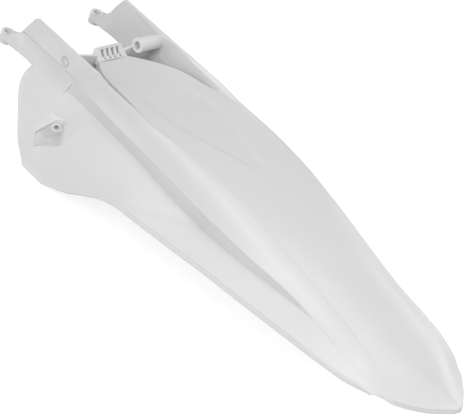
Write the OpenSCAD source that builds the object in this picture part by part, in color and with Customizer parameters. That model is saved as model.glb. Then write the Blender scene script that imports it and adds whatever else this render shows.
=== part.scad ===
// Rear fender of an off-road motorcycle, moulded in one piece from white plastic.
// Millimetres. X runs from the front mounting eyes to the tail, Y to the rider's right, Z up.
// The origin lies midway between the two eye holes, on the top faces of the eyes.

/* [Overall] */
// Distance from the eye holes to the tail tip, along X
tail_x = 595; // [570:1:640]
// Distance between the centres of the two eye holes
eye_spacing = 120; // [114:1:128]
// Thickness of the moulded skin
wall = 2.4; // [1.8:0.1:3]

/* [Mounting eyes] */
// Diameter of the bolt hole in each eye
eye_hole_d = 8; // [6:0.1:9]
// Outer diameter of each eye
eye_d = 13.6; // [12:0.2:18]
// Height of each eye
eye_h = 12; // [9:0.5:14]

/* [Arms] */
// Thickness of the upright plate of each arm
arm_t = 4; // [3:0.1:5]
// Top edge of the arms above the eye faces
arm_top = 36; // [33:0.5:38]
// Bottom edge of the arms below the eye faces
arm_drop = 8.5; // [7:0.5:10]
// Height of the step where the plate stands on its thicker foot
step_z = 13; // [10:0.5:16]
// How far the foot stands out from the plate
step_out = 2.2; // [1:0.1:2.6]
// Where the front edge of the plate starts behind the eye
plate_x = 18; // [16:0.5:22]
// How far the front edge of the plate leans back
plate_lean = 11; // [6:0.5:14]
// Rear end of the flat arm plates, where the rails take over
plate_end = 124; // [116:1:132]
// Rear end of the foot, where the undercut band starts
foot_end = 100; // [94:1:106]
// Diameter of the round mark on the outside of each plate
mark_d = 11; // [8:0.5:14]

/* [Crown] */
// Front edge of the crown
crown_x = 84; // [81:1:88]
// Height of the crown at its front edge
crown_z = 14; // [12:0.5:16]
// Half width of the crown at its front edge
crown_front_y = 17; // [16:0.5:19]
// Place of the highest point of the crown
peak_x = 290; // [270:1:310]
// Height of the highest point of the crown
peak_z = 37.5; // [35:0.5:40]
// Height of the tail tip
tip_z = -9.5; // [-13:0.5:-7]
// Depth of the tongue that is sunk into the crown
tongue_deep = 1.2; // [0.4:0.1:1.6]
// Half width of the tongue
tongue_y = 34; // [28:1:40]

/* [Pockets beside the crown] */
// Rear end of the pockets between crown and rails
pocket_end = 184; // [174:1:194]
// Height of the pocket floor
pocket_z = 4; // [3:0.5:6]
// Height of the front wall beside the comb
front_wall_z = 20; // [17:0.5:22]

/* [Sides and tail] */
// Half width over the edges at the widest place
edge_y = 99.5; // [94:0.5:104]
// Half width over the corners of the tail
tail_y = 60; // [56:0.5:64]
// Distance from the tail tip forward to the corners of the tail
corner_back = 55; // [45:1:65]
// Height of the turned-down lip
lip_h = 5.5; // [4:0.5:7]
// Lowest edge of the side skirts
skirt_z = -84; // [-90:1:-78]
// Half width over the bottom of the side skirts
skirt_y = 94.5; // [90:0.5:98]
// Front end of the side skirts, at their top
skirt_x = 46; // [43:1:50]

/* [Comb] */
// Number of slots in the comb
slots = 4; // [2:1:5]
// Distance between the slots
slot_pitch = 6.7; // [6:0.1:7]
// Width of each slot
slot_w = 3.7; // [2.4:0.1:4]
// Height of the top of the comb
comb_z = 27.5; // [26:0.5:30]
// Half width of the comb at its foot
comb_y = 19.5; // [18:0.5:21]

/* [Inner boss] */
// Outer diameter of the boss inside the right arm
boss_d = 15; // [13:0.5:17]
// Diameter of the hole in the boss
boss_hole_d = 8; // [5:0.1:10]
// Distance from the inner face of the plate to the free end of the boss
boss_l = 29; // [24:1:32]

/* [Side screw seats] */
// Diameter of the screw hole in each side skirt
screw_d = 5.6; // [4:0.1:7]
// Diameter of the raised ring round the screw hole
seat_d = 11; // [10:0.5:14]

/* [Hidden] */
$fn = 40;
// Faces that would coincide overlap by this much instead
lap = 0.3;
eye_y = eye_spacing / 2;
plate_in = eye_y - 3;
plate_out = plate_in + arm_t;
foot_out = plate_out + step_out;
corner_x = tail_x - corner_back;
// Stations along the body, and steps across the parts of one half section
stations = 38;
crown_n = 8;
rail_n = 6;
flank_n = 7;

function mix(a, b, t) = a + (b - a) * t;
function clamp01(t) = max(0, min(1, t));
function ease(a, b, x) = let (t = clamp01((x - a) / (b - a))) t * t * (3 - 2 * t);
function bump(x, mid, half) = ease(0, 1, 1 - abs(x - mid) / half);
function bezier(p, t) =
    let (s = 1 - t) s * s * s * p[0] + 3 * s * s * t * p[1] + 3 * s * t * t * p[2] + t * t * t * p[3];
function arc(centre, r, from, to, n = 8) =
    [for (i = [0:n]) let (a = mix(from, to, i / n)) centre + r * [cos(a), sin(a)]];

// A smooth line through a few [x, value] knots, without overshoot
function rate(k, i) = (k[i + 1][1] - k[i][1]) / (k[i + 1][0] - k[i][0]);
function slope(k, i) =
    let (n = len(k) - 1)
    i == 0 ? rate(k, 0) : i == n ? rate(k, n - 1)
    : let (a = rate(k, i - 1), b = rate(k, i)) a * b <= 0 ? 0 : 2 * a * b / (a + b);
function span(k, x, i = 0) = i >= len(k) - 2 || x < k[i + 1][0] ? i : span(k, x, i + 1);
function track(k, x) =
    let (i = span(k, x), h = k[i + 1][0] - k[i][0], t = (x - k[i][0]) / h,
        a = slope(k, i) * h, b = slope(k, i + 1) * h)
    t < 0 ? k[i][1] + t * a
    : t > 1 ? k[i + 1][1] + (t - 1) * b
    : mix(k[i][1], k[i + 1][1], t * t * (3 - 2 * t)) + a * t * (1 - t) * (1 - t) - b * t * t * (1 - t);

// Height of the crown along the middle
function ridge(x) =
    x < peak_x ? mix(crown_z, peak_z, sin(90 * clamp01((x - crown_x) / (peak_x - crown_x))))
    : mix(peak_z, tip_z, pow((x - peak_x) / (tail_x - peak_x), 1.6));
// Border of the crown: beside the pockets first, then where the shoulder starts
function border_y(x) = track([[crown_x, crown_front_y],
    for (k = [[94, 0.2], [106, 0.4], [120, 0.575]]) [k[0], mix(crown_front_y, plate_in, k[1])],
    for (k = [[143, 10.5], [165, 7], [pocket_end - 3, 2.5], [pocket_end + 6, 1], [250, 3], [300, 4], [344, 8],
        [384, 10], [455, 13], [corner_x, 11]]) [k[0], plate_in - k[1]]], x);
function border_z(x) = track([[crown_x, crown_z + 1], [106, crown_z + 6],
    for (k = [[120, 12.5], [143, 8], [pocket_end, 4.5], [215, 1.5]]) [k[0], arm_top - k[1]],
    for (k = [[250, 0.03], [300, 0.055], [344, 0.15], [384, 0.305], [423, 0.45], [455, 0.58], [500, 0.755]])
        [k[0], mix(peak_z, tip_z, k[1])],
    [corner_x, tip_z + 3]], x);
// Upper and lower edge of the undercut band below the rail and the shoulder
function band_y(x) = track([
    for (k = [[skirt_x, -lap], [foot_end, -lap], [plate_end, 1], [150, 3], [190, 5], [266, 9], [305, 10],
        [344, 9], [384, 6], [423, 1.5]]) [k[0], plate_out + k[1]],
    [455, tail_y], [500, tail_y], [corner_x, tail_y - 5]], x);
function band_z(x) = track([
    for (k = [[skirt_x, lap], [foot_end, lap], [130, 2], [190, 3], [227, 3], [305, 4.7], [384, 8], [423, 10.5]])
        [k[0], step_z - k[1]],
    [455, tip_z + 6.7], [500, tip_z + 0.7], [corner_x, tip_z - 2]], x);
function under_y(x) = track([
    [skirt_x, foot_out - lap], [75, foot_out - lap], [95, foot_out - 1],
    for (k = [[108, -2.2], [125, -1.5], [190, 1], [272, 5], [348, 5], [404, 1]]) [k[0], plate_out + k[1]],
    [455, tail_y + 0.2], [500, tail_y + 1], [corner_x, tail_y - 4]], x);
function under_z(x) = track([
    for (k = [[46, 2.5], [75, 2], [97, 4]]) [k[0], k[1] - arm_drop],
    [190, -5], [272, -8.5], [302, -10], [348, -8.5], [404, -5.7],
    [455, tip_z + 6.1], [500, tip_z - 0.3], [corner_x, tip_z - 2.5]], x);
// Outer edge of the skirt and of the tail
function rim_y(x) = track([[100, skirt_y], [209, mix(skirt_y, edge_y, 0.1)], [250, edge_y],
    for (k = [[300, 0.05], [350, 0.19], [400, 0.34], [455, 0.545], [505, 0.77]])
        [k[0], mix(edge_y, tail_y, k[1])],
    [corner_x, tail_y]], x);
function rim_z(x) = track([
    for (k = [[130, 1], [160, 13], [183, 27], [209, 40]]) [k[0], skirt_z + k[1]],
    [231, -36.5], [250, -33], [300, -28.5], [350, -26], [455, -25],
    [505, tip_z - 15.5], [corner_x, tip_z - 13.5]], x);
// Front outline of the skirt from its top (0) to its bottom (1)
function skirt_front(s) = skirt_x
    + track([[0, 0], [0.14, -3], [0.3, -1], [0.42, 6], [0.65, 22], [0.93, 44], [1, 54]], s);
// Outline of the tail end, which the lip steps out from
lip_out = 0.8;
function tail_end(y) = tail_x - lip_out
    - corner_back * (0.68 * (sqrt(y * y + 16) - 4) / tail_y + 0.36 * pow(y / tail_y, 2));
// Height of the edge along the tail end, and the rounding of the skin down to it
function tail_edge(y) = tip_z - track([[0, 0], [10, 3], [20, 5.5], [40, 8], [tail_y, 8.5]], y);
function rounded(p) =
    let (w = pow(clamp01(1 - (tail_end(p[1]) - p[0]) / 45), 2)) [p[0], p[1], mix(p[2], tail_edge(p[1]), w)];

// Half width of the sunken tongue; it closes in a rounded point at its rear end
tongue_end = 292;
tongue_full = 215;
function tongue_half(x) =
    tongue_y * pow(clamp01((tongue_end - x) / (tongue_end - tongue_full)), 0.75);
function sink(x) = tongue_deep * ease(148, 175, x) * ease(0, 7, tongue_half(x));
// Rows of the crown follow the edge of the tongue, 0 to 3 inside it and 4 onwards beside it
function crown_y(i, x) =
    let (h = min(max(tongue_half(x), mix(9, 20, ease(tongue_end, 420, x))), 0.62 * border_y(x)),
        soft = min(3.5, 0.25 * h))
    i < 4 ? (h - soft) * i / 3 : mix(h + soft, border_y(x), (i - 4) / (crown_n - 4));

// Every row of the skin runs from its own front end to its own rear end as t goes from 0 to 1
front_x = crown_x - 3;
function row_x(front, rear, t) =
    mix(front_x, tail_x, t) + (front - front_x) * (1 - ease(0, 0.16, t)) + (rear - tail_x) * ease(0.66, 1, t);
function crown_x_at(f, t) = row_x(front_x, tail_end(f * 46), t);
function rail_x_at(i, t) =
    let (g = max(0, i - 3) / (rail_n - 1))
    row_x(mix(front_x, skirt_front(0), g), tail_end(mix(46, 55, rail_share(i))), t);
function flank_x_at(f, t) = row_x(skirt_front(f), mix(tail_end(56), corner_x, f), t);
// The pocket floor rises to the rail at its rear end
function floor_z(x) = mix(pocket_z, arm_top - 5, ease(132, pocket_end, x));
// 0 where the rail stands free of the crown, 1 where it has become the shoulder
function merged(x) = ease(pocket_end - 8, pocket_end + 36, x);

function crown_point(i, t) =
    let (x = crown_x_at(i / crown_n, t), y = crown_y(i, x), f = y / border_y(x),
        z = mix(ridge(x), border_z(x), pow(f, 2.4)))
    rounded([x, y, z - (i < 4 ? sink(x) : 0)]);

// Half section of the rounded shoulder, from the crown's border (0) to the band's upper edge (1)
function shoulder(x, g) =
    let (k = [border_y(x), border_z(x)], e = [band_y(x), band_z(x)], d = e - k,
        lift = track([[pocket_end, 7], [215, 5], [250, 1.2], [300, -0.5]], min(x, 300)),
        full = track([[pocket_end, 0.75], [250, 0.8], [300, 0.62], [344, 0.5], [423, 0.5]], min(x, 423)),
        steep = track([[100, 80], [250, 80], [344, 66], [384, 52], [423, 38], [500, 40]], min(x, 500)))
    bezier([k, k + [d[0] * full, lift - 0.06 * d[0]],
        e + norm(d) * full * 0.8 * [-cos(steep), sin(steep)], e], g);
// The skin lies inside the arm plate and comes out through its faces just before the plate ends
function proud(x) = lap * (2 * ease(plate_end - 16, plate_end - 2, x) - 1);
// The inner top edge of the rail is rounded over from there on
rail_round = 2.6;
function round_over(x) = ease(plate_end - 2, plate_end + 16, x);
// The same rows where the rail stands free: pocket wall, floor, inner face, top, outer face
function rail(x, i) =
    let (k = [border_y(x), border_z(x)], e = [band_y(x), band_z(x)],
        top = [plate_out + proud(x), arm_top + proud(x)], g = max(0, i - 3) / (rail_n - 1),
        roll = (1.6 * bump(g, 0.8, 0.28) - 1.2 * bump(g, 0.4, 0.35))
            * ease(118, 135, x) * (1 - ease(185, 240, x)))
    i == 0 ? [min(k[0] + 1, plate_in - 3 * lap), floor_z(x)]
    : i == 1 ? [plate_in - proud(x), floor_z(x)]
    : i == 2 ? [plate_in - proud(x) + 0.6 * round_over(x), top[1] - rail_round * round_over(x)]
    : [mix(top[0], e[0], g) + roll, mix(top[1], e[1], g)];
function rail_share(i) = i < 3 ? 0.06 * (i + 1) : mix(0.3, 1, (i - 3) / (rail_n - 1));
function rail_point(i, t) =
    let (x = rail_x_at(i, t),
        q = rail(x, i) * (1 - merged(x)) + shoulder(x, rail_share(i)) * merged(x))
    rounded([x, q[0], q[1]]);

// A soft valley runs down the flank where the skirt meets the tail side
function valley(x, f) =
    1.4 * bump(f, clamp01((303 - x) / 77), 0.3) * ease(215, 235, x) * (1 - ease(296, 310, x));
// A shallow dart shapes the lower front corner of the skirt
function dart(x, f) = 2.2 * bump(f, 0.8 - 0.0035 * (x - 90), 0.16) * (1 - ease(95, 135, x));
// Outer face of the flank at a share f of its way from the band down to the lip
function flank(x, f) =
    let (top = [under_y(x), under_z(x)],
        low = [rim_y(max(x, 100)), rim_z(max(x, 130))],
        lip = mix(1.5, lip_h, ease(185, 245, x)) * mix(1, 0.75, ease(460, corner_x, x)),
        bulge = 3 * sin(180 * f) * ease(60, 140, x) * (1 - ease(230, 300, x)))
    mix(top, low + [-1, lip], f) + [bulge - valley(x, f) - dart(x, f), -0.4 * valley(x, f)];
function flank_point(f, t) =
    let (x = flank_x_at(f, t), q = flank(x, f)) rounded([x, q[0], q[1]]);
function lip_point(t) =
    let (x = flank_x_at(1, t)) [x, rim_y(max(x, 100)), rim_z(max(x, 130))];

// One half of the outer skin, as a row of points from the middle to the lip
function half_row(t) = [
    for (i = [0:crown_n]) crown_point(i, t),
    for (i = [0:rail_n + 2]) rail_point(i, t),
    for (i = [0:flank_n]) flank_point(i / flank_n, t),
    lip_point(t)];

// The inner skin lies one wall inside the outer one. Where the rail stands free it passes below the rail.
function unit(v) = v / max(norm(v), 0.001);
function inward(row, j) =
    let (n = len(row) - 1, a = row[max(j - 1, 0)], p = row[j], b = row[min(j + 1, n)],
        u = j == 0 ? [1, 0] : unit([p[1] - a[1], p[2] - a[2]]),
        v = j == n ? u : unit([b[1] - p[1], b[2] - p[2]]),
        w = j == 0 ? [1, 0] : unit(u + v))
    [w[1], -w[0]] / max(0.7, abs(w[0] * u[0] + w[1] * u[1]));
function wall_y(x, z) =
    let (top = arm_top - lap, low = min(under_y(x), mix(plate_out - 2, under_y(x), ease(90, 125, x))))
    z > band_z(x) ? mix(plate_out - lap, band_y(x), (top - z) / (top - band_z(x)))
    : mix(low, band_y(x), (z - under_z(x)) / (band_z(x) - under_z(x)));
function under_rail(x, x0, i) =
    let (ceiling = floor_z(x0) - wall, z = mix(ceiling, min(band_z(x) - 1, ceiling - 4), i / (rail_n + 2)))
    i == 0 ? [min(border_y(x) + 1, plate_in - 3 * lap) - wall, ceiling]
    : let (start = ease(front_x + 2, front_x + 20, x))
    [max(wall_y(x, z) - wall, plate_in + (2 + i / 4) * lap - 3 * start), z];
function inner_point(row, j) =
    let (i = j - crown_n - 1, p = row[j], q = [p[1], p[2]] + wall * inward(row, j),
        m = ease(pocket_end + 12, pocket_end + 60, p[0]))
    i < -1 ? [p[0], q[0] * (1 - (1 - m) * wall / border_y(p[0])), q[1]]
    : i < 0 || i > rail_n + 2 ? [p[0], q[0], q[1]]
    : let (r = under_rail(p[0], row[crown_n + 1][0], i) * (1 - m) + q * m) [p[0], r[0], r[1]];
function inner_row(row) = [for (j = [0:len(row) - 1]) inner_point(row, j)];

// The tail end turns down as a lip, tallest at the tip
function tail_low(y) = tail_edge(y) - 4.5;
function moved(row, dx) = [for (p = row) [p[0] + dx, p[1], p[2]]];
function dropped(row, dx) = [
    for (p = row) [p[0] + dx * ease(0, 14, tail_y - p[1]), p[1], min(p[2], tail_low(p[1]))]];
function whole(half) = [
    for (j = [len(half) - 1:-1:1]) [half[j][0], -half[j][1], half[j][2]],
    each half];

module skin() {
    tops = [for (i = [0:stations]) let (s = i / stations) half_row(mix(s, s * s, 0.3))];
    under = [for (r = tops) inner_row(r)];
    outer = [for (r = tops) whole(r), whole(dropped(tops[stations], lip_out))];
    inner = [
        for (i = [0:stations - 1]) whole(under[i]),
        whole(moved(under[stations], -1.3 * wall)),
        whole(dropped(under[stations], -1.3 * wall))];
    n = len(outer[0]);
    last = len(outer) - 1;
    m = n * len(outer);
    faces = [
        for (i = [0:last - 1]) for (j = [0:n - 2]) each let (a = i * n + j) [
            [a, a + 1, a + n + 1], [a, a + n + 1, a + n],
            [m + a, m + a + n + 1, m + a + 1], [m + a, m + a + n, m + a + n + 1]],
        for (i = [0:last - 1]) each let (a = i * n, b = i * n + n - 1) [
            [a, a + n, m + a + n], [a, m + a + n, m + a],
            [b, m + b + n, b + n], [b, m + b, m + b + n]],
        for (j = [0:n - 2]) each let (a = j, b = last * n + j) [
            [a, m + a, m + a + 1], [a, m + a + 1, a + 1],
            [b, b + 1, m + b + 1], [b, m + b + 1, m + b]]];
    polyhedron([for (r = outer) each r, for (r = inner) each r], faces, convexity = 8);
}

// A flat shape drawn in X and Z, as a plate from y0 to y1
module side_plate(points, y0, y1)
    translate([0, y1, 0]) rotate([90, 0, 0]) linear_extrude(y1 - y0) polygon(points);
// A round bar or bore along Y
module cross_bar(x, z, d, y0, y1)
    translate([x, y0, z]) rotate([-90, 0, 0]) cylinder(d = d, h = y1 - y0);

// Upright plate of one arm on its thicker foot
module arm_plate() {
    corner_r = 3;
    slant = atan2(arm_top - step_z, plate_lean);
    centre = [plate_x + plate_lean + corner_r * tan(slant / 2), arm_top - corner_r];
    side_plate(concat(
        [[foot_end - 10, -5], [foot_end - 4, step_z - 2], [plate_end, step_z + 2], [plate_end + 2, arm_top]],
        arc(centre, corner_r, 90, 90 + slant, 6),
        [[plate_x, step_z], [plate_x - 4, -arm_drop + 1], [60, -arm_drop + 1]]),
        plate_in, plate_out);
    side_plate([[10, -arm_drop], [60, -arm_drop], [foot_end - 6, 1 - arm_drop], [foot_end, step_z - 1],
        [foot_end - 2, step_z + 0.5], [plate_x, step_z + 0.5], [9, 0.5]], plate_in + lap, foot_out);
}

// Points where lines from p touch a circle
function touch(centre, r, p, side) =
    let (v = p - centre, a = atan2(v[1], v[0]) + side * acos(r / norm(v))) centre + r * [cos(a), sin(a)];

// Mounting eye and the tapered tab that carries it
module eye() {
    r = eye_d / 2;
    tab_end = plate_x + 9;
    c = [0, eye_y];
    a = [tab_end, plate_in];
    b = [tab_end, foot_out - lap];
    translate([0, eye_y, -eye_h]) cylinder(d = eye_d, h = eye_h);
    intersection() {
        translate([0, 0, -arm_drop]) linear_extrude(arm_drop + step_z)
            polygon([c, touch(c, r, a, -1), a, b, touch(c, r, b, 1)]);
        side_plate([[-r, -arm_drop - 1], [-r, -lap], [r, -lap], [plate_x, step_z - 1],
            [tab_end + 1, step_z - 1], [tab_end + 1, -arm_drop - 1]], plate_in - 20, foot_out + 20);
    }
}

// Wall that closes the pockets in front and carries the comb
module front_wall() {
    y = plate_in + 1;
    translate([crown_x - 4.5, 0, 0]) rotate([90, 0, 90]) linear_extrude(wall + 0.6)
        polygon([[-y, pocket_z - wall / 2], [y, pocket_z - wall / 2], [y, front_wall_z + 7], [50, front_wall_z + 6],
            [comb_y, front_wall_z], [comb_y - 2, crown_z], [2 - comb_y, crown_z], [-comb_y, front_wall_z],
            [-50, front_wall_z + 6], [-y, front_wall_z + 7]]);
}

// Ribbed lip that rises from the front edge of the crown
module comb() {
    r = 16.4;
    centre = [crown_x + 8.5, comb_z + 3.5];
    top = 197;
    foot = 250;
    // The front of the comb bulges, so that it is thickest at its foot
    belly = centre - [0, 2.4];
    function sector(r0, r1, from, to) = concat(arc(centre, r0, from, to, 6), arc(belly, r1, to, from, 6));
    difference() {
        intersection() {
            side_plate(sector(r, r + 3, top, foot), -comb_y, comb_y);
            translate([crown_x - 20, 0, 0]) rotate([90, 0, 90]) linear_extrude(40)
                polygon([[-comb_y, crown_z - 4], [comb_y, crown_z - 4], [comb_y, crown_z + 4],
                    [comb_y - 4, comb_z - 2.5], [comb_y - 6, comb_z + 2], [6 - comb_y, comb_z + 2],
                    [4 - comb_y, comb_z - 2.5], [-comb_y, crown_z + 4]]);
        }
        for (i = [0:slots - 1]) let (y = (i - (slots - 1) / 2) * slot_pitch) {
            side_plate(sector(r - 2, r + 2, top + 9, foot - 17), y - slot_w / 2, y + slot_w / 2);
            side_plate(sector(r - 2, r + 1, foot - 13, foot - 7), y + 0.3, y + slot_w / 2 + 0.8);
        }
    }
}

// Places of the boss and of the round mark
boss_at = [87, 26.5];
mark_at = [81.5, 20.5];

// A ring sunk into the plate round a flush disc
module round_mark()
    difference() {
        cross_bar(mark_at[0], mark_at[1], mark_d, plate_out - 1, plate_out + 1);
        cross_bar(mark_at[0] + 0.8, mark_at[1], 0.5 * mark_d, plate_out - 2, plate_out - lap);
    }
module boss() {
    cross_bar(boss_at[0], boss_at[1], boss_d, plate_in - boss_l, plate_in + 1);
}

// The notch round the side screw: the fold at its bottom is upright, and the screw face turns forward from it
fold_y = plate_out + 6;
fold = [[112.3, fold_y, -27], [107.2, fold_y, -56]];
seat_turn = 38;
function face_y(x, z) =
    fold_y + tan(seat_turn) * (mix(fold[0][0], fold[1][0], (z - fold[0][2]) / (fold[1][2] - fold[0][2])) - x);
function on_face(x, z) = [x, face_y(x, z), z];
function on_skirt(x, z) =
    let (f = (under_z(x) - z) / (under_z(x) - rim_z(130) - 1.5)) [x, flank(x, f)[0] + 0.2, z];
screw_at = on_face(106.3, -38.3);
// Depth of the short tube behind the screw hole
screw_tube = 9;
// How far the cutters of the notch reach outward
notch_out = 14;
notch_rim = [on_skirt(107, -27), on_skirt(122, -9), on_skirt(131.5, -19.5), on_skirt(127.5, -43),
    on_skirt(98.5, -64), on_face(92.5, -51.5)];
facet_rim = [on_skirt(91.5, -27), on_skirt(122, -9), on_skirt(116, -28), on_skirt(99, -33)];
block_rim = [for (p = [[105, -24], [124, -4], [135, -17], [130, -44], [98, -68], [89, -54]])
    on_skirt(p[0], p[1]) - [0, wall, 0]];

// A solid that widens from one or two deep points to a rim, and goes on outward from there.
// The first few points of the rim, up to share, belong to the first deep point.
module hopper(deep, rim, share, out) {
    m = len(deep);
    n = len(rim);
    function owner(i) = i < share ? 0 : m - 1;
    faces = [
        for (i = [0:n - 1])
            each let (k = (i + 1) % n, e = m + i, f = m + k, a = owner(i), b = owner(k)) concat(
                [[a, e, f], [e, e + n, f + n], [e, f + n, f]],
                a == b ? [] : [[a, f, b]]),
        for (i = [1:n - 2]) [m + n, m + n + i + 1, m + n + i]];
    polyhedron(concat(deep, rim, [for (p = rim) p + [0, out, 0]]), faces);
}
module seat_bar(d, from, to)
    translate(screw_at) rotate([0, 0, -seat_turn]) translate([0, from, 0]) rotate([-90, 0, 0])
        cylinder(d = d, h = to - from);
// Solid block behind the skirt, into which the notch is cut
module seat_block()
    hopper([fold[0] + [5, -3.2, 5], fold[1] + [-3, -3.2, -5]], block_rim, 3, 1.2);
module seat_notch()
    difference() {
        union() {
            hopper(fold, notch_rim, 3, notch_out);
            hopper([fold[0]], facet_rim, 4, notch_out);
        }
        seat_bar(seat_d, -4, 1);
    }

module rear_fender() {
    color("whitesmoke")
    difference() {
        union() {
            skin();
            front_wall();
            comb();
            boss();
            for (s = [0, 1]) mirror([0, s, 0]) {
                arm_plate();
                eye();
                seat_block();
                seat_bar(screw_d + 4, -screw_tube, -1);
            }
        }
        for (s = [0, 1]) mirror([0, s, 0]) {
            translate([0, eye_y, -eye_h - 1]) cylinder(d = eye_hole_d, h = eye_h + 2);
            round_mark();
            seat_notch();
            seat_bar(screw_d, -screw_tube - 1, notch_out);
        }
        cross_bar(boss_at[0], boss_at[1], boss_hole_d, plate_in - boss_l - 1, foot_out + 1);
    }
}

rear_fender();
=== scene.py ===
# %% [markdown]
# # A rear fender in white plastic
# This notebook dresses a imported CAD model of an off-road motorcycle's rear fender. The real one is a
# single moulding of white polypropylene: two arms with bolt eyes in front, a raised crown, two side skirts
# and a long tail with a turned-down rim. The CAD model fixes every size. What is left for Blender is what
# the eye sees: smooth flowing surfaces, soft moulded edges, and a plastic with a little grain and gloss.

# %% Load the frame
import math
import bmesh
import bpy
import numpy as np
from mathutils import Matrix, Vector


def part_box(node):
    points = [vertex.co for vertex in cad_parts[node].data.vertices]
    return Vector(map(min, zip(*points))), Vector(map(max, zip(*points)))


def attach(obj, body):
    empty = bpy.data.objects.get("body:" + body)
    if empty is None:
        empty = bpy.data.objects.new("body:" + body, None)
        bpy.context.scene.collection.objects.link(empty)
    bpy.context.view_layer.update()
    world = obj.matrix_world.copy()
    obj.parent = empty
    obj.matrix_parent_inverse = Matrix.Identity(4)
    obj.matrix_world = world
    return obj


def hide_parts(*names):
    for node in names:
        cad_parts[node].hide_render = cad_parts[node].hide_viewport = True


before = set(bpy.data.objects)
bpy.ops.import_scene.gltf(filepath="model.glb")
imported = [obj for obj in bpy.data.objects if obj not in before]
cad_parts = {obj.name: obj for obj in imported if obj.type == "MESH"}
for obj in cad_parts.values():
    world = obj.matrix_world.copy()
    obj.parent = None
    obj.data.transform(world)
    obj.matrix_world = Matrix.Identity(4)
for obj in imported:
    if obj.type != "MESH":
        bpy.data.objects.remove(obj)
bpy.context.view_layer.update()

bpy.ops.object.select_all(action="DESELECT")
scene = bpy.context.scene
low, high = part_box("rear_fender")
print("the fender runs from", tuple(round(v, 3) for v in low), "to", tuple(round(v, 3) for v in high))

# %% [markdown]
# ## The camera
# The photograph was taken from behind, above and to the rider's left, with a long lens. A camera could be
# set by eye, but three angles, a target and a distance say the same and can be corrected one by one. The
# camera's own axes follow from the angles, so that the fender lies across the picture as in the photograph.

# %% Place the camera
AZIMUTH, ELEVATION, ROLL = 0.5942, 0.5791, -0.3932
TARGET = Vector((0.3, 0.0, 0.0))
ASIDE = Vector((0.01651, -0.00545))
DISTANCE = 2.5
PIXELS_PER_METRE = 1061.7
IMAGE_WIDTH = 465
SENSOR = 36.0

toward = Vector((math.sin(AZIMUTH) * math.cos(ELEVATION), -math.cos(AZIMUTH) * math.cos(ELEVATION),
                 math.sin(ELEVATION)))
level = Vector((math.cos(AZIMUTH), math.sin(AZIMUTH), 0.0))
down = -toward.cross(level)
right = math.cos(ROLL) * level + math.sin(ROLL) * down
up = math.sin(ROLL) * level - math.cos(ROLL) * down
place = TARGET - right * ASIDE.x + up * ASIDE.y + toward * DISTANCE

camera_data = bpy.data.cameras.new("camera")
camera_data.sensor_width = SENSOR
camera_data.lens = PIXELS_PER_METRE * DISTANCE / IMAGE_WIDTH * SENSOR
camera_data.clip_end = 20.0
camera = bpy.data.objects.new("camera", camera_data)
camera.matrix_world = Matrix.Translation(place) @ Matrix((right, up, toward)).transposed().to_4x4()
scene.collection.objects.link(camera)
scene.camera = camera
print("the camera stands at", tuple(round(v, 3) for v in place), "with a lens of",
      round(camera_data.lens, 1))

# %% [markdown]
# ## The moulding
# The CAD solid is exact but made of flat facets that don't share their points. It could be modelled again
# with curved patches, and every size would have to be matched by hand. So a copy of the solid is merged
# into one skin, and the next steps soften that skin. The CAD node itself stays untouched.

# %% Copy the solid and join its loose triangles
MERGE_WITHIN = 0.000005


def select_only(piece):
    bpy.ops.object.select_all(action="DESELECT")
    piece.select_set(True)
    bpy.context.view_layer.objects.active = piece


fender = bpy.data.objects.new("fender_moulding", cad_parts["rear_fender"].data.copy())
scene.collection.objects.link(fender)
select_only(fender)
bpy.ops.object.mode_set(mode="EDIT")
bpy.ops.mesh.select_all(action="SELECT")
bpy.ops.mesh.remove_doubles(threshold=MERGE_WITHIN)
bpy.ops.mesh.select_all(action="DESELECT")
bpy.ops.object.mode_set(mode="OBJECT")
print("the copy has", len(fender.data.vertices), "points and", len(fender.data.polygons), "faces")

# %% [markdown]
# ## Small corrections
# Some forms are finer on the real moulding than in the solid. They could be added as new pieces, but each is
# only a few millimetres of one flowing skin. So the copy's points are pulled instead, as with proportional
# editing: a point moves in full at the middle of the pull and less and less around it. A hard corner is
# relaxed: each of its points moves towards the mean of its neighbours, until the corner has turned round.

# %% Helpers that read the copy
def as_arrays(mesh):
    mesh.calc_loop_triangles()
    points = np.zeros(len(mesh.vertices) * 3)
    mesh.vertices.foreach_get("co", points)
    corners = np.zeros(len(mesh.loop_triangles) * 3, int)
    mesh.loop_triangles.foreach_get("vertices", corners)
    return points.reshape(-1, 3), corners.reshape(-1, 3)


def between(values, least, most):
    return (values > least) & (values < most)


def smooth_step(values, start, end):
    share = np.clip((values - start) / (end - start), 0, 1)
    return share * share * (3 - 2 * share)


points, faces = as_arrays(fender.data)
print("read", len(points), "points and", len(faces), "triangles")

# %% Helpers that pull and relax its points
def nearness(points, middle, reach):
    away = np.linalg.norm((points - middle) / np.array(reach), axis=1)
    return away, smooth_step(1 - away, 0, 1)


def pull(points, middle, reach, by):
    _, weight = nearness(points, middle, reach)
    points += weight[:, None] * np.array(by)
    return int((weight > 0).sum())


def relax(points, faces, middle, reach, rounds):
    away, weight = nearness(points, middle, reach)
    weight = 0.5 * weight[:, None]
    near = faces[(away[faces] < 1.5).any(1)]
    for _ in range(rounds):
        total, count = np.zeros_like(points), np.zeros(len(points))
        for a, b in ((0, 1), (1, 2), (2, 0)):
            np.add.at(total, near[:, a], points[near[:, b]])
            np.add.at(total, near[:, b], points[near[:, a]])
            np.add.at(count, near[:, a], 1)
            np.add.at(count, near[:, b], 1)
        mean = total / np.maximum(count, 1)[:, None]
        points += np.where(count[:, None] > 0, (mean - points) * weight, 0)
    return int((away < 1).sum())


# %% [markdown]
# ### The rails above the undercut band
# On each side a rail runs back from the arm, and a band is cut in under it. The strip just above the band
# turns outwards and ends in a crisp edge, where the solid rolls under. The strip is found by how far down the
# rail a point lies, from 0 at its top to 1 at the edge, and a short table says how far it moves outwards.

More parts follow.
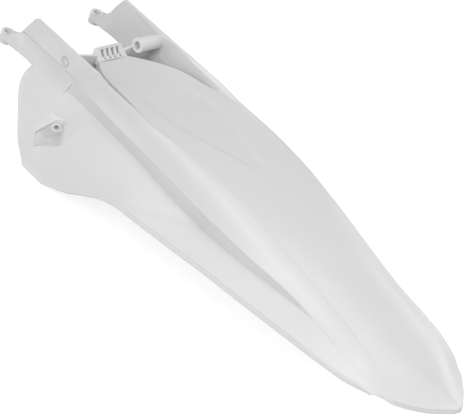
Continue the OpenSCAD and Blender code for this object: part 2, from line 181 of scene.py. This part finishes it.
# %% Flare the rails
PLATE_FACE, RAIL_TOP = 0.061, 0.036
EDGE_X = (0.100, 0.124, 0.150, 0.190, 0.230)
EDGE_Y = (0.0607, 0.0620, 0.0640, 0.0660, 0.0683)
EDGE_Z = (0.0127, 0.0113, 0.0105, 0.0100, 0.0100)
FLARE_SHARE = (0.0, 0.2, 0.4, 0.6, 0.8, 1.0)
FLARE = (0.0, 0.0002, 0.0004, -0.0008, -0.0021, 0.0003)
FLARE_STARTS, FLARE_ENDS = (0.118, 0.135), (0.176, 0.220)

along, across, height = points.T
edge_y, edge_z = np.interp(along, EDGE_X, EDGE_Y), np.interp(along, EDGE_X, EDGE_Z)
share = (RAIL_TOP - height) / (RAIL_TOP - edge_z)
proud = np.abs(across) - (PLATE_FACE + (edge_y - PLATE_FACE) * share)
outer = between(share, -0.02, 1.04) & between(proud, -0.0018, 0.0025)
fade = smooth_step(along, *FLARE_STARTS) * (1 - smooth_step(along, *FLARE_ENDS))
shift = np.interp(share, FLARE_SHARE, FLARE) * fade * outer
points[:, 1] += np.sign(across) * shift
print("points flared on the rails:", int((np.abs(shift) > 0.00005).sum()))

# %% [markdown]
# ### The tabs behind the eyes
# A tab joins each bolt eye to its arm. Its sides rise straight from the eye, so that the bolt's head lies in
# a small trough. Raising the four corner points of the two tabs gives that trough without a new piece.

# %% Hollow the tabs
NEAR = 0.0003
TAB_X, TAB_Z, TAB_RISE = 0.0068, -0.0003, 0.0022
EYE_Y, EYE_BESIDE = 0.060, 0.005

beside = np.abs(np.abs(points[:, 1]) - EYE_Y) > EYE_BESIDE
tab = (np.abs(points[:, 0] - TAB_X) < NEAR) & (np.abs(points[:, 2] - TAB_Z) < NEAR) & beside
points[tab, 2] += TAB_RISE
print("tab corners raised:", int(tab.sum()))

# %% [markdown]
# ### The feet of the arms
# Each arm's upright plate stands on a thicker foot. The plates overhang their feet a little, which draws the
# soft dark line along each arm. Below, the feet stay flush with the skirts. So only the upper points of the
# feet move inwards, and the tall foot faces lean with them.

# %% Tuck the tops of the feet in under the plates
FOOT_FACE, FOOT_TUCK = 0.0632, 0.0033
FOOT_START, FOOT_END = 0.012, 0.102
FOOT_LOW, FOOT_HIGH, FOOT_TOP = -0.009, 0.004, 0.0140

foot = (np.abs(np.abs(points[:, 1]) - FOOT_FACE) < NEAR) & (points[:, 2] < FOOT_TOP)
foot &= between(points[:, 0], FOOT_START, FOOT_END)
tuck = FOOT_TUCK * smooth_step(points[:, 2], FOOT_LOW, FOOT_HIGH) * foot
points[:, 1] -= np.sign(points[:, 1]) * tuck
print("foot points tucked in:", int((tuck > 0).sum()), "of", int(foot.sum()))

# %% [markdown]
# ### Corners and edges
# The skirts reach a little further forward at their lower corners than the solid does, and the tail's right
# edge lies a little further out. A moulding has no sharp outer corner either, because the mould would tear
# it. Each of these places gets a pull or a few rounds of relaxing, where a new loft would move far more.

# %% Fill out the corners and turn them round
BAND_START, BAND_REACH, BAND_IN = (0.104, 0.061, 0.003), (0.018, 0.006, 0.014), -0.0012
SKIRT_CORNER, SKIRT_REACH, SKIRT_FORWARD = (0.085, 0.0935, -0.075), (0.032, 0.02, 0.03), -0.004
SKIRT_TIP, SKIRT_TIP_REACH = (0.089, 0.094, -0.078), 0.014
TAIL_CORNER, TAIL_CORNER_REACH = (0.540, 0.060, -0.022), 0.024
TAIL_EDGE, TAIL_EDGE_REACH, TAIL_EDGE_OUT = (0.485, 0.076, -0.02), (0.12, 0.05, 0.05), 0.005
ROUNDS = 5


def on_side(place, side):
    return place[0], place[1] * side, place[2]


for side in (-1, 1):
    print("side", side, "- band start:",
          pull(points, on_side(BAND_START, side), BAND_REACH, (0, BAND_IN * side, 0)), "skirt corner:",
          pull(points, on_side(SKIRT_CORNER, side), SKIRT_REACH, (SKIRT_FORWARD, 0, 0)), "turned round:",
          relax(points, faces, on_side(SKIRT_TIP, side), SKIRT_TIP_REACH, ROUNDS),
          relax(points, faces, on_side(TAIL_CORNER, side), TAIL_CORNER_REACH, ROUNDS))
print("tail edge:", pull(points, TAIL_EDGE, TAIL_EDGE_REACH, (0, TAIL_EDGE_OUT, 0)))

# %% [markdown]
# ## Curved faces from flat ones
# The solid's skin is drawn with flat triangles. A Subdivision Surface modifier would round them, but it
# would also shrink the eyes, the comb and every crisp edge. So each edge gets one new point in its middle,
# and that point is lifted onto the curve that the normals at the edge's two ends describe. An edge between
# two flat faces stays where it is. So does a sharp corner, because a corner's normal is only averaged with
# neighbours that bend away by less than the smoothing angle, and the undercut band has a smaller one.

# %% Find the normal at each corner of each triangle
SMOOTHING_ANGLE, BAND_ANGLE = math.radians(33), math.radians(13)
BAND_LOW, BAND_HIGH = np.array((0.095, 0.054, -0.014)), np.array((0.56, 0.08, 0.014))
TINY = 1e-20


def in_band(points):
    # Both sides are tested as one, with the Y of each point made positive
    places = np.abs(points * (0, 1, 0)) + points * (1, 0, 1)
    return ((places > BAND_LOW) & (places < BAND_HIGH)).all(1)


def corner_angles(a, b, c):
    angles = np.zeros((len(a), 3))
    for k, (p, q, r) in enumerate(((a, b, c), (b, c, a), (c, a, b))):
        u, v = q - p, r - p
        lengths = np.linalg.norm(u, axis=1) * np.linalg.norm(v, axis=1)
        angles[:, k] = np.arccos(np.clip((u * v).sum(1) / np.maximum(lengths, TINY), -1, 1))
    return angles


def corner_normals(points, faces):
    a, b, c = (points[faces[:, k]] for k in range(3))
    cross = np.cross(b - a, c - a)
    flat = cross / np.maximum(np.linalg.norm(cross, axis=1, keepdims=True), TINY)
    angles = corner_angles(a, b, c)
    around = [[] for _ in range(len(points))]
    for face, corners in enumerate(faces):
        for k, vertex in enumerate(corners):
            around[vertex].append((face, k))
    limits = np.where(in_band(points), math.cos(BAND_ANGLE), math.cos(SMOOTHING_ANGLE))
    normals = np.zeros((len(faces), 3, 3))
    for vertex, ring in enumerate(around):
        face, k = np.array(ring).T
        near = (flat[face] @ flat[face].T) > limits[vertex]
        total = (near * angles[face, k][None, :]) @ flat[face]
        normals[face, k] = total / np.maximum(np.linalg.norm(total, axis=1, keepdims=True), TINY)
    return normals


# %% Lift the middle of every edge onto the curve
LIFT, MOST_LIFT = 0.8, 0.1


def lift_edges(points, faces):
    normals = corner_normals(points, faces)
    middles, uses = {}, {}
    for face, corners in enumerate(faces):
        for k in range(3):
            i, j = corners[k], corners[(k + 1) % 3]
            p, q = points[i], points[j]
            m = (p + q) / 2
            n1, n2 = normals[face, k], normals[face, (k + 1) % 3]
            bulge = (n1 * ((p - m) @ n1) + n2 * ((q - m) @ n2)) / 2 * LIFT
            most, size = MOST_LIFT * np.linalg.norm(q - p), np.linalg.norm(bulge)
            if size > most:
                bulge *= most / size
            key = (min(i, j), max(i, j))
            middles[key] = middles.get(key, np.zeros(3)) + (m + bulge)
            uses[key] = uses.get(key, 0) + 1
    order = {key: len(points) + n for n, key in enumerate(middles)}
    new_points = np.vstack([points] + [middles[key][None] / uses[key] for key in order])
    new_faces = []
    for i, j, k in faces:
        ij, jk, ki = (order[(min(s, t), max(s, t))] for s, t in ((i, j), (j, k), (k, i)))
        new_faces += [(i, ij, ki), (ij, j, jk), (ki, jk, k), (ij, jk, ki)]
    return new_points, np.array(new_faces)


points, faces = lift_edges(points, faces)
fender.data.clear_geometry()
fender.data.from_pydata(points.tolist(), [], faces.tolist())
fender.data.update()
print("after lifting:", len(points), "points and", len(faces), "faces")

# %% [markdown]
# ## Smooth faces and crisp edges
# The moulding's faces flow, and its steps are crisp. Smoothing by angle gives both in one go. The undercut
# band is shallower than its two edges deserve, so its edges are marked sharp at a smaller angle of their own.

# %% Shade it
SMOOTH_BELOW, BAND_CREASE = math.radians(28), math.radians(12)

select_only(fender)
bpy.ops.object.shade_smooth_by_angle(angle=SMOOTH_BELOW)
shape = bmesh.new()
shape.from_mesh(fender.data)
kept = 0
for edge in shape.edges:
    middle = (edge.verts[0].co + edge.verts[1].co) / 2
    if edge.smooth and in_band(np.array([middle]))[0] and edge.calc_face_angle(0.0) > BAND_CREASE:
        edge.smooth = False
        kept += 1
shape.to_mesh(fender.data)
shape.free()
print("edges kept crisp along the band:", kept)

# %% [markdown]
# ## The plastic
# Moulded polypropylene is never one flat colour. The melt leaves faint clouds, the mould leaves a fine
# grain, and the flow of the plastic leaves long streaks that are a little more or less glossy. A photo
# texture would repeat and smear on the steep sides. Noise in the moulding's own coordinates doesn't. The
# effects are a node group with named values, and the shader itself stays in the material.

# %% A group for grain, clouds and flow
FLOAT, VECTOR = "NodeSocketFloat", "NodeSocketVector"


def new_group(name, inputs, outputs):
    group = bpy.data.node_groups.new(name, "ShaderNodeTree")
    for label, kind, value in inputs:
        socket = group.interface.new_socket(name=label, in_out="INPUT", socket_type=kind)
        if value is not None:
            socket.default_value = value
    for label, kind in outputs:
        group.interface.new_socket(name=label, in_out="OUTPUT", socket_type=kind)
    return group, group.nodes.new("NodeGroupInput"), group.nodes.new("NodeGroupOutput")


grain, grain_in, grain_out = new_group(
    "moulded_grain",
    [("Vector", VECTOR, None), ("Pebble Scale", FLOAT, 900.0), ("Cloud Scale", FLOAT, 9.0)],
    [("Pebbles", FLOAT), ("Clouds", FLOAT), ("Flow", FLOAT)])
pebbles = grain.nodes.new("ShaderNodeTexNoise")
pebbles.inputs["Detail"].default_value = 3.0
clouds = grain.nodes.new("ShaderNodeTexNoise")
clouds.inputs["Detail"].default_value = 4.0
stretch = grain.nodes.new("ShaderNodeMapping")
stretch.inputs["Scale"].default_value = (0.35, 1.0, 1.0)
flow = grain.nodes.new("ShaderNodeTexNoise")
flow.inputs["Scale"].default_value = 60.0
flow.inputs["Detail"].default_value = 5.0
link = grain.links.new
link(grain_in.outputs["Vector"], pebbles.inputs["Vector"])
link(grain_in.outputs["Pebble Scale"], pebbles.inputs["Scale"])
link(grain_in.outputs["Vector"], clouds.inputs["Vector"])
link(grain_in.outputs["Cloud Scale"], clouds.inputs["Scale"])
link(grain_in.outputs["Vector"], stretch.inputs["Vector"])
link(stretch.outputs["Vector"], flow.inputs["Vector"])
link(pebbles.outputs["Fac"], grain_out.inputs["Pebbles"])
link(clouds.outputs["Fac"], grain_out.inputs["Clouds"])
link(flow.outputs["Fac"], grain_out.inputs["Flow"])
print("the group", grain.name, "has", len(grain.nodes), "nodes")

# %% [markdown]
# ### Rubbed edges with a painted highlight, and painted shade in the creases
# Boots, bags and cleaning cloths rub the outer edges of such a fender a little brighter, and that brightening
# is also a painted highlight. The inner corners get painted shade. Pointiness tells edges from creases, and a
# noise breaks the rub up.

# %% A group for rubbed edges with a painted highlight, and for painted shade in the creases
# edges whose pointiness rises above these values get the rub, which is partly a painted highlight
EDGE_FROM, EDGE_FULL = 0.52, 0.60
# creases whose pointiness falls below these values get painted shade
CREASE_FROM, CREASE_FULL = 0.49, 0.42

rub_and_painted_light, rub_and_painted_light_in, rub_and_painted_light_out = new_group(
    "rub_highlight_and_crease_shade",
    [("Vector", VECTOR, None), ("Breakup", FLOAT, 140.0)],
    [("Edge", FLOAT), ("Crease", FLOAT)])
geometry = rub_and_painted_light.nodes.new("ShaderNodeNewGeometry")
edge_range = rub_and_painted_light.nodes.new("ShaderNodeMapRange")
edge_range.inputs["From Min"].default_value = EDGE_FROM
edge_range.inputs["From Max"].default_value = EDGE_FULL
# this mask paints shade into the creases
crease_shade_range = rub_and_painted_light.nodes.new("ShaderNodeMapRange")
crease_shade_range.inputs["From Min"].default_value = CREASE_FROM
crease_shade_range.inputs["From Max"].default_value = CREASE_FULL
specks = rub_and_painted_light.nodes.new("ShaderNodeTexNoise")
specks.inputs["Detail"].default_value = 4.0
# the rubbed-edge mask, which is also a painted highlight along the edges
rub_and_highlight = rub_and_painted_light.nodes.new("ShaderNodeMath")
rub_and_highlight.operation = "MULTIPLY"
link = rub_and_painted_light.links.new
link(geometry.outputs["Pointiness"], edge_range.inputs["Value"])
link(geometry.outputs["Pointiness"], crease_shade_range.inputs["Value"])
link(rub_and_painted_light_in.outputs["Vector"], specks.inputs["Vector"])
link(rub_and_painted_light_in.outputs["Breakup"], specks.inputs["Scale"])
link(edge_range.outputs["Result"], rub_and_highlight.inputs[0])
link(specks.outputs["Fac"], rub_and_highlight.inputs[1])
link(rub_and_highlight.outputs["Value"], rub_and_painted_light_out.inputs["Edge"])
link(crease_shade_range.outputs["Result"], rub_and_painted_light_out.inputs["Crease"])
print("the group", rub_and_painted_light.name, "has", len(rub_and_painted_light.nodes), "nodes")

# %% [markdown]
# ### The white polypropylene
# The colour starts as a clouded white, takes painted shade in the creases and turns brighter on rubbed edges,
# where the brightening is partly a painted highlight. The streaks of the flow drive the roughness, and the
# fine pebbles only bend the light. Sharp edges get their millimetre of roundness from a Bevel node, which
# costs no faces and leaves every size as it is.

# %% Helpers that mix colours and scale values
plastic = bpy.data.materials.new("white_polypropylene")
plastic.use_nodes = True
nodes, links = plastic.node_tree.nodes, plastic.node_tree.links


def shade(base, other, amount):
    mix = nodes.new("ShaderNodeMix")
    mix.data_type = "RGBA"
    links.new(amount, mix.inputs["Factor"])
    if isinstance(base, tuple):
        mix.inputs["A"].default_value = base
    else:
        links.new(base, mix.inputs["A"])
    mix.inputs["B"].default_value = other
    return mix.outputs["Result"]


def scaled(value, factor, offset=0.0):
    node = nodes.new("ShaderNodeMath")
    node.operation = "MULTIPLY_ADD"
    links.new(value, node.inputs[0])
    node.inputs[1].default_value = factor
    node.inputs[2].default_value = offset
    return node.outputs["Value"]


# %% Place the two groups
coordinates = nodes.new("ShaderNodeTexCoord")
grain_node = nodes.new("ShaderNodeGroup")
grain_node.node_tree = grain
rub_and_painted_light_node = nodes.new("ShaderNodeGroup")
rub_and_painted_light_node.node_tree = rub_and_painted_light
links.new(coordinates.outputs["Object"], grain_node.inputs["Vector"])
links.new(coordinates.outputs["Object"], rub_and_painted_light_node.inputs["Vector"])
print("the two groups read the", coordinates.outputs["Object"].name, "coordinates")

# %% Colour and gloss
WHITE = (0.80, 0.80, 0.805, 1.0)
CLOUDY = (0.745, 0.745, 0.755, 1.0)
# brighter edges: partly real rub, partly a painted highlight
RUB_AND_HIGHLIGHT = (0.90, 0.90, 0.90, 1.0)
# painted shade for the creases
SHADED = (0.56, 0.56, 0.565, 1.0)
CREASE_SHADE_STRENGTH, RUB_AND_HIGHLIGHT_STRENGTH = 0.5, 1.2
LEAST_ROUGH, MORE_ROUGH = 0.30, 0.16
GLOSS = 0.45

shader = nodes["Principled BSDF"]
tone = shade(WHITE, CLOUDY, grain_node.outputs["Clouds"])
# painted shade: the creases turn darker
tone = shade(tone, SHADED, scaled(rub_and_painted_light_node.outputs["Crease"], CREASE_SHADE_STRENGTH))
# rubbed edges turn brighter, partly as a painted highlight
tone = shade(tone, RUB_AND_HIGHLIGHT, scaled(rub_and_painted_light_node.outputs["Edge"], RUB_AND_HIGHLIGHT_STRENGTH))
links.new(tone, shader.inputs["Base Color"])
links.new(scaled(grain_node.outputs["Flow"], MORE_ROUGH, LEAST_ROUGH), shader.inputs["Roughness"])
shader.inputs["Specular IOR Level"].default_value = GLOSS
print("white", WHITE[:3], "with roughness from", LEAST_ROUGH, "to", round(LEAST_ROUGH + MORE_ROUGH, 2))

# %% Grain and soft edges
GRAIN_STRENGTH, GRAIN_HEIGHT = 0.12, 0.0002
EDGE_RADIUS, EDGE_SAMPLES = 0.001, 6

bump = nodes.new("ShaderNodeBump")
bump.inputs["Strength"].default_value = GRAIN_STRENGTH
bump.inputs["Distance"].default_value = GRAIN_HEIGHT
soft_edge = nodes.new("ShaderNodeBevel")
soft_edge.samples = EDGE_SAMPLES
soft_edge.inputs["Radius"].default_value = EDGE_RADIUS
links.new(soft_edge.outputs["Normal"], bump.inputs["Normal"])
links.new(grain_node.outputs["Pebbles"], bump.inputs["Height"])
links.new(bump.outputs["Normal"], shader.inputs["Normal"])
fender.data.materials.clear()
fender.data.materials.append(plastic)
print("the plastic has", len(nodes), "nodes")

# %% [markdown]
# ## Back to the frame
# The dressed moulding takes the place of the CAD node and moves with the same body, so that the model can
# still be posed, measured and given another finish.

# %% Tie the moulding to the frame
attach(fender, "root")
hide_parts("rear_fender")
print(fender.name, "rides on root and shows in place of rear_fender")

# %% [markdown]
# ## The studio floor
# The photograph has a pure white ground. A real white sweep would need a lot of light, and that light would
# wash out the white plastic. So the floor shows its white to the camera and to reflections alone. Its paint
# is a mid grey, which throws little light up at the fender and still keeps a soft shadow.

# %% A floor that the camera sees as white
FLOOR_PAINT = (0.45, 0.45, 0.45, 1.0)
FLOOR_GLOW, FLOOR_SIZE, FLOOR_GAP = 0.78, 12.0, 0.0005


def white_ground(name, strength):
    material = bpy.data.materials.new(name)
    material.use_nodes = True
    nodes, links = material.node_tree.nodes, material.node_tree.links
    nodes.clear()
    path = nodes.new("ShaderNodeLightPath")
    either = nodes.new("ShaderNodeMath")
    either.operation = "MAXIMUM"
    seen = nodes.new("ShaderNodeMath")
    seen.operation = "MAXIMUM"
    links.new(path.outputs["Is Camera Ray"], either.inputs[0])
    links.new(path.outputs["Is Glossy Ray"], either.inputs[1])
    links.new(either.outputs["Value"], seen.inputs[0])
    links.new(path.outputs["Is Transmission Ray"], seen.inputs[1])
    glow = nodes.new("ShaderNodeEmission")
    power = nodes.new("ShaderNodeMath")
    power.operation = "MULTIPLY"
    power.inputs[1].default_value = strength
    links.new(seen.outputs["Value"], power.inputs[0])
    links.new(power.outputs["Value"], glow.inputs["Strength"])
    paint = nodes.new("ShaderNodeBsdfDiffuse")
    paint.inputs["Color"].default_value = FLOOR_PAINT
    both = nodes.new("ShaderNodeAddShader")
    links.new(paint.outputs["BSDF"], both.inputs[0])
    links.new(glow.outputs["Emission"], both.inputs[1])
    output = nodes.new("ShaderNodeOutputMaterial")
    links.new(both.outputs["Shader"], output.inputs["Surface"])
    return material


MIDDLE = (0.3, 0.0, 0.0)
bpy.ops.mesh.primitive_plane_add(size=FLOOR_SIZE, location=(MIDDLE[0], MIDDLE[1], low.z - FLOOR_GAP))
floor = bpy.context.object
floor.name = "floor"
floor.data.materials.append(white_ground("white_ground", FLOOR_GLOW))
print("the floor lies at z =", round(low.z - FLOOR_GAP, 4))

# %% [markdown]
# ## The light
# The photograph is lit very evenly: no face is brighter than its neighbour by more than a few per cent. Five
# large, weak lamps and a plain white world do that. Their powers were found by rendering each lamp alone and
# adding the pictures up, which takes less time than turning five knobs at once.

# %% Lamps and world
LAMPS = {
    "left_lamp": ((0.5, -2.4, 1.8), 1.6, 32.5),
    "low_left_lamp": ((0.4, -2.8, 0.5), 1.6, 6.0),
    "right_lamp": ((0.3, 2.8, 0.8), 1.6, 17.5),
    "tail_lamp": ((2.8, -0.6, 0.9), 1.2, 7.8),
    "top_lamp": ((0.3, 0.0, 3.0), 2.0, 13.8),
}
WORLD_COLOUR, WORLD_LIGHT = (1.0, 1.0, 1.0, 1.0), 0.46


def soft_lamp(name, spot, aim, size, power):
    data = bpy.data.lights.new(name, "AREA")
    data.shape = "DISK"
    data.size = size
    data.energy = power
    lamp = bpy.data.objects.new(name, data)
    lamp.location = spot
    lamp.rotation_euler = (Vector(aim) - Vector(spot)).to_track_quat("-Z", "Y").to_euler()
    scene.collection.objects.link(lamp)


for name, (spot, size, power) in LAMPS.items():
    soft_lamp(name, spot, MIDDLE, size, power)
world = bpy.data.worlds.new("studio")
scene.world = world
world.use_nodes = True
background = world.node_tree.nodes["Background"]
background.inputs["Color"].default_value = WORLD_COLOUR
background.inputs["Strength"].default_value = WORLD_LIGHT
scene.view_settings.view_transform = "Standard"
print(len(LAMPS), "lamps with", sum(power for _, _, power in LAMPS.values()), "watts in all")
